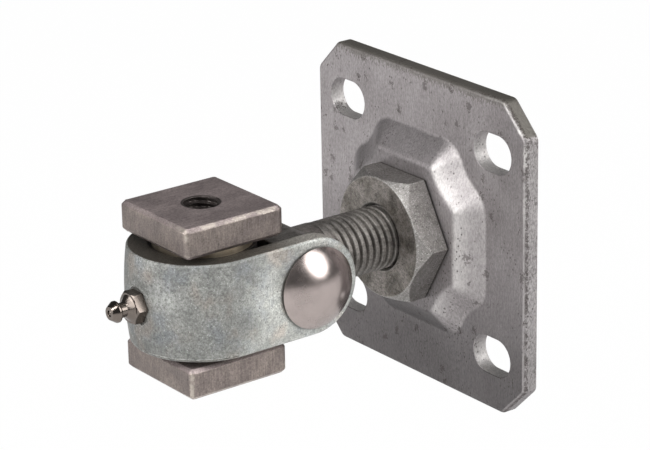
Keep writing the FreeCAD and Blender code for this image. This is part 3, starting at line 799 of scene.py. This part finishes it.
def plain_metal(name, dark, light, roughness, shade_depth=0.0):
    """Ground or turned metal with clouds of wear, a fine grain and, as deep as asked, painted shade in
    its pockets and on its faces toward +X.
    """
    made, tree, shader = material(name)
    soft = clouds(tree, 5 * MM, 3)
    grain = clouds(tree, 0.4 * MM, 2, 0.7)
    rub = edges(tree, 0.5 * MM) * 0.5
    colour = blend(tree, soft.ramp(0.3, 0.7), coloured(*dark), coloured(*light))
    colour = shade(tree, colour, grain * 0.3 + 0.85)
    colour = blend(tree, rub, colour, coloured(*(min(1.0, channel * 1.5) for channel in light)))
    # Painted shade in pockets, lighter on faces toward +Y, and on faces toward +X.
    shadowed = pocket_shade(tree, 4 * MM) * (1 - facing(tree, "Y").ramp(0.2, 0.7) * 0.75)
    painted_shade = shadowed.most(facing(tree, "X").ramp(0.35, 0.8) * 0.8) * shade_depth
    colour = blend(tree, painted_shade, colour, coloured(0.03, 0.026, 0.02))
    connect(tree, shader, {
        "Base Color": colour, "Metallic": 0.9, "Roughness": soft * 0.15 + roughness,
        "Normal": bump(tree, grain, 0.3, 0.05 * MM)})
    return made


METALS = {
    "plate_steel": plate_metal(),
    "nut_steel": nut_metal(),
    "rod_steel": rod_metal(),
    "galvanised_strap": strap_metal(),
    "block_steel": block_metal(),
    "polished_rivet": bright_metal("polished rivet", (0.45, 0.388, 0.368), 0.20),
    "nipple_plating": bright_metal("nipple plating", (0.19, 0.162, 0.143), 0.14),
    "washer_steel": plain_metal("washer steel", (0.34, 0.33, 0.31), (0.46, 0.45, 0.43), 0.35),
    "spring_steel": plain_metal("spring steel", (0.08, 0.075, 0.07), (0.15, 0.14, 0.13), 0.35),
    "barrel_steel": plain_metal("barrel steel", (0.05, 0.047, 0.045), (0.11, 0.10, 0.095), 0.4),
    "bush_bronze": plain_metal("bush bronze", (0.46, 0.38, 0.28), (0.70, 0.60, 0.46), 0.36, 0.9),
    "pin_steel": plain_metal("pin steel", (0.30, 0.29, 0.28), (0.42, 0.41, 0.40), 0.3),
}
print("materials:", len(METALS))

# %% [markdown]
# ## Plate, nut, strap and nipple
#
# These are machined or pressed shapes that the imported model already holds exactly, so each is a
# clean copy with softened edges. The bigger the piece, the rounder its edges have worn.

# %% Plate, nut, strap and nipple
PLATE_EDGE = 0.25 * MM
NUT_EDGE = 0.18 * MM
STRAP_EDGE = 0.2 * MM
NIPPLE_EDGE = 0.08 * MM
plate = machined("mounting_plate", "pressed_plate", PLATE_EDGE)
nut = machined("adjusting_nut", "captive_nut", NUT_EDGE)
strap = machined("strap", "bent_strap", STRAP_EDGE, joined=False)
nipple = machined("nipple_body", "nipple", NIPPLE_EDGE)
print("points:", {piece.name: len(piece.data.vertices) for piece in (plate, nut, strap, nipple)})

# %% [markdown]
# ## Rod
#
# The rod is built in two parts, as it is made: its forged head and neck are cut from the copy
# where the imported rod's plain neck starts, and a real thread takes the place of the plain shank.
# The thread's end is buried a little way inside the neck, so no seam shows.

# %% Rod: forged head and neck, and a real thread
ROD_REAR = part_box("threaded_rod")[0].x
NECK_START = 45.394 * MM
HEAD_EDGE = 0.4 * MM
THREAD_PITCH = 2.5 * MM
THREAD_END_BEVEL = 1.4 * MM
RUN_OUT = 2.2 * MM
BURIED = 1.0 * MM


def forged_head():
    """The head and neck of the rod, cut off where the thread starts."""
    mesh = nodes["threaded_rod"].data.copy()
    welded(mesh)
    shape = bmesh.new()
    shape.from_mesh(mesh)
    cut = bmesh.ops.bisect_plane(
        shape, geom=[*shape.verts, *shape.edges, *shape.faces], plane_co=(NECK_START, 0, 0),
        plane_no=(-1, 0, 0), clear_outer=True)["geom_cut"]
    rim = [edge for edge in cut if isinstance(edge, bmesh.types.BMEdge)]
    bmesh.ops.holes_fill(shape, edges=rim)
    shape.to_mesh(mesh)
    shape.free()
    head = new_piece("rod_head", mesh)
    soften(head, HEAD_EDGE)
    return head


def threaded_shank():
    """The rod's thread, from its rear end to just inside the neck."""
    shank = thread("rod_thread", NECK_START + BURIED - ROD_REAR, THREAD_PITCH, CREST_RADIUS,
                   ROOT_DEPTH, THREAD_END_BEVEL, RUN_OUT, METALS["rod_steel"])
    shank.data.transform(Matrix.Translation((ROD_REAR, 0, 0)))
    return shank


rod_head = forged_head()
rod_thread = threaded_shank()

# %% [markdown]
# ## Tapped blocks
#
# A tap cuts a block's thread by passing through a plain hole. The same is done here: the thread
# tree makes the tap, a Boolean modifier takes it out of the softened block, and the result is
# one closed mesh with a real M12 thread in it. The tap is longer than the block and keeps its
# full depth to the end, so the thread comes out clean on both sides.

# %% Blocks
BLOCK_EDGE = 0.2 * MM
TAP_PITCH = 1.75 * MM
TAP_RADIUS = 5.8 * MM
TAP_DEPTH = 0.8 * MM
TAP_OVERSHOOT = 1.2 * MM
BLOCK_HOLE_ROOM = 9 * MM


def in_block_hole(middle):
    """True for the edges round the block's hole, which the tap takes."""
    return math.hypot(middle.x - PIVOT_X, middle.y) < BLOCK_HOLE_ROOM


def tap(side):
    """The tap that cuts one block's thread, standing on the pivot's axis."""
    length = block_high.z - block_low.z + 2 * TAP_OVERSHOOT
    cutter = thread("tap", length, TAP_PITCH, TAP_RADIUS, TAP_DEPTH, 0, -TAP_PITCH, None)
    cutter.data.transform(Matrix.Rotation(-math.pi / 2, 4, "Y"))
    cutter.data.transform(Matrix.Translation((PIVOT_X, 0, block_low.z - TAP_OVERSHOOT)))
    if side < 0:
        cutter.data.transform(Matrix.Rotation(math.pi, 4, "X"))
    return cutter


def tapped_block(node, name, side):
    """A softened block with its thread cut through it."""
    block = baked(machined(node, name, BLOCK_EDGE, in_block_hole, joined=False))
    cutter = tap(side)
    cut = block.modifiers.new("cut", "BOOLEAN")
    cut.operation, cut.solver, cut.object = "DIFFERENCE", "MANIFOLD", cutter
    baked(block)
    bpy.data.objects.remove(cutter)
    block.data.set_sharp_from_angle(angle=SHARP_ANGLE)
    block.modifiers.new("flat flats", "WEIGHTED_NORMAL").keep_sharp = True
    print(name, "faces:", len(block.data.polygons))
    return block


upper_block = tapped_block("upper_block", "upper_square_block", 1)
lower_block = tapped_block("lower_block", "lower_square_block", -1)

# %% [markdown]
# ## Rivet
#
# A rivet is turned or upset, so it is a solid of revolution: its outline, spun about its axis,
# is the whole piece. The show head is a low dome on a thin rolled rim. Under the rim the head
# draws in, so a dark line parts it from the strap. The outline is written from the packed
# rivet's box and a few real sizes.

# %% Rivet as a spun outline
rivet_low, rivet_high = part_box("rivet")
strap_low, strap_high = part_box("strap")
RIVET_SHANK = 6.0 * MM
RIVET_TAIL = 11.5 * MM
RIM_HEIGHT = 1.1 * MM
RIM_GAP = RIM_HEIGHT * 0.5
RIM_ROLL = RIM_HEIGHT * 0.3
RIM_TOP = RIM_HEIGHT * 0.9
RIM_UNDERCUT = 1.0 * MM
DOME_STEPS = 14
RIVET_SIDES = 96


def dome(radius, foot, top):
    """Outline of a domed head, as (height, radius) points from its foot to its tip."""
    rise = top - foot - RIM_HEIGHT
    sphere = (radius**2 + rise**2) / (2 * rise)
    widest = math.asin(radius / sphere)
    start = [(foot, radius - RIM_UNDERCUT), (foot + RIM_GAP, radius - RIM_UNDERCUT * 0.9),
             (foot + RIM_GAP + RIM_ROLL, radius), (foot + RIM_TOP, radius)]
    arc = []
    for step in range(1, DOME_STEPS + 1):
        angle = widest * (1 - step / DOME_STEPS)
        arc.append((top - sphere + sphere * math.cos(angle), sphere * math.sin(angle)))
    return start + arc


def spun(name, outline, x):
    """Spins (height along Y, radius) points about the line along Y at a distance along X."""
    shape = bmesh.new()
    points = [shape.verts.new((x + radius, height, 0)) for height, radius in outline]
    line = [shape.edges.new(pair) for pair in zip(points, points[1:])]
    bmesh.ops.spin(shape, geom=[*points, *line], cent=(x, 0, 0), axis=(0, 1, 0),
                   angle=math.tau, steps=RIVET_SIDES)
    bmesh.ops.remove_doubles(shape, verts=shape.verts, dist=WELD_DISTANCE / 2)
    bmesh.ops.recalc_face_normals(shape, faces=shape.faces)
    for face in shape.faces:
        face.smooth = True
    mesh = bpy.data.meshes.new(name)
    shape.to_mesh(mesh)
    shape.free()
    mesh.set_sharp_from_angle(angle=SHARP_ANGLE)
    print(name, "faces:", len(mesh.polygons))
    return new_piece(name, mesh)


def set_rivet():
    """The rivet's show head, shank and tail in one outline."""
    radius = (rivet_high.x - rivet_low.x) / 2
    show = dome(radius, strap_high.y, rivet_high.y)
    tail = [(-height, across) for height, across in dome(RIVET_TAIL, -strap_low.y, -rivet_low.y)]
    shank = [(strap_low.y, RIVET_SHANK), (strap_high.y, RIVET_SHANK)]
    return spun("domed_rivet", tail[::-1] + shank + show, (rivet_low.x + rivet_high.x) / 2)


rivet = set_rivet()

# %% [markdown]
# ## Dressing the pieces
#
# Each new piece gets its metal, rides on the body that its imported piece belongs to, and stands
# for that piece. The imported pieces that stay, such as the bushes and the pin, get their metal
# too. Nothing is moved, so the hinge can wind and swing with all its pieces in step.

# %% Give each piece its metal and its body
MADE = (
    (plate, "post_plate", "plate_steel", "mounting_plate"),
    (nut, "nut", "nut_steel", "adjusting_nut"),
    (rod_head, "rod", "rod_steel", "threaded_rod"),
    (rod_thread, "rod", "rod_steel", "threaded_rod"),
    (strap, "rod", "galvanised_strap", "strap"),
    (rivet, "rod", "polished_rivet", "rivet"),
    (nipple, "rod", "nipple_plating", "nipple_body"),
    (upper_block, "gate_blocks", "block_steel", "upper_block"),
    (lower_block, "gate_blocks", "block_steel", "lower_block"),
)


def wear(piece, metal):
    """Puts one metal all over a piece."""
    piece.data.materials.clear()
    piece.data.materials.append(METALS[metal])


for piece, body, metal, node in MADE:
    wear(piece, metal)
    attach(piece, body)
    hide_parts(node)

slots = {row["node"]: row["material_slot"] for row in frame["record"]["subparts"]}
stood_for = {entry[3] for entry in MADE}
for node in nodes:
    if node not in stood_for:
        wear(nodes[node], slots[node])
print("made:", len(MADE), "kept:", sorted(set(nodes) - stood_for))

# %% [markdown]
# ## Floor and light
#
# The photograph is a cut-out on pure white. A large floor fills the whole view, because the
# camera looks down. The camera sees it as white, and the metal mirrors it as a softer white that
# rises toward the key. Five soft boxes light the hinge: an oval key on the rivet's side, which
# makes the hot spot on its dome, three in front, and one overhead. The room around is dim and a
# little darker overhead, which gives the polished pieces their dark bands and the tops of the
# blocks their tone.

# %% Floor, room and soft boxes
FLOOR_DROP = 45 * MM
FLOOR_SIZE = 30.0
FLOOR_PAINT = 0.8
SEEN_WHITE = 0.99
MIRRORED_WHITE = 0.28
MIRRORED_RISE = 0.42
TOWARD_KEY = (-0.6, 0.8)
RISE_START, RISE_END = -0.10, 0.25
ROOM_LIGHT = 0.096
ROOM_LIGHT_DROP = 0.024
SOFT_BOXES = (
    # name, direction from the hinge, distance, width, power, height if oval
    ("left box", (0.95, -0.40, 0.40), 0.45, 0.22, 0.8, None),
    ("front box", (0.93, 0.10, 0.30), 0.9, 0.5, 3.0, None),
    ("upper front box", (0.66, 0.12, 0.76), 0.9, 0.3, 2.8, None),
    ("key", (-0.30, 0.75, 0.60), 0.9, 0.70, 7.4, 0.92),
    ("overhead", (0.05, 0.0, 1.0), 0.9, 0.42, 1.3, None),
)


def white_floor():
    """A white floor well under the hinge."""
    half = FLOOR_SIZE / 2
    level = cad_box[0].z - FLOOR_DROP
    corners = [(x * half, y * half, level) for x, y in ((-1, -1), (1, -1), (1, 1), (-1, 1))]
    mesh = bpy.data.meshes.new("floor")
    mesh.from_pydata(corners, [], [(0, 1, 2, 3)])
    floor = new_piece("floor", mesh)
    made = bpy.data.materials.new("white floor")
    made.use_nodes = True
    made.node_tree.nodes.clear()
    tree = Tree(made.node_tree)
    camera_ray, glossy_ray, through_ray = (
        tree.node("ShaderNodeLightPath", output=name)
        for name in ("Is Camera Ray", "Is Glossy Ray", "Is Transmission Ray"))
    side = part_of_place(tree, "X") * TOWARD_KEY[0] + part_of_place(tree, "Y") * TOWARD_KEY[1]
    mirrored = side.ramp(RISE_START, RISE_END) * MIRRORED_RISE + MIRRORED_WHITE
    white = (camera_ray + through_ray) * SEEN_WHITE + glossy_ray * mirrored
    paint = tree.node("ShaderNodeBsdfDiffuse", {}, {"Color": coloured(*[FLOOR_PAINT] * 3)})
    glow = tree.node("ShaderNodeEmission", {}, {"Color": coloured(1, 1, 1), "Strength": 1.0})
    mixed = tree.node("ShaderNodeMixShader", {}, {0: white.least(1), 1: paint, 2: glow})
    tree.node("ShaderNodeOutputMaterial", {}, {"Surface": mixed})
    mesh.materials.append(made)


def dim_room():
    """Room light: dim, darker overhead, and white where the camera looks past the floor."""
    world = bpy.data.worlds.new("room")
    world.use_nodes = True
    world.node_tree.nodes.clear()
    bpy.context.scene.world = world
    tree = Tree(world.node_tree)
    direction = tree.node("ShaderNodeTexCoord", output="Generated")
    height = tree.node("ShaderNodeSeparateXYZ", {}, {0: direction}, "Z")
    camera_ray = tree.node("ShaderNodeLightPath", output="Is Camera Ray")
    light = ROOM_LIGHT - height.ramp(0.1, 0.8) * ROOM_LIGHT_DROP
    strength = camera_ray + (1 - camera_ray) * light
    background = tree.node("ShaderNodeBackground", {}, {"Color": coloured(1, 1, 1), "Strength": strength})
    tree.node("ShaderNodeOutputWorld", {}, {"Surface": background})


def soft_box(name, direction, distance, width, power, height):
    """A square lamp, or an oval one if it has a height, that faces the hinge from a direction."""
    data = bpy.data.lights.new(name, "AREA")
    data.shape, data.size, data.energy = "SQUARE", width, power
    if height:
        data.shape, data.size_y = "ELLIPSE", height
    lamp = bpy.data.objects.new(name, data)
    bpy.context.scene.collection.objects.link(lamp)
    away = Vector(direction).normalized()
    centre = (cad_box[0] + cad_box[1]) / 2
    lamp.location = centre + away * distance
    lamp.rotation_euler = away.to_track_quat("Z", "Y").to_euler()


white_floor()
dim_room()
for row in SOFT_BOXES:
    soft_box(*row)
bpy.context.scene.view_settings.view_transform = "Standard"
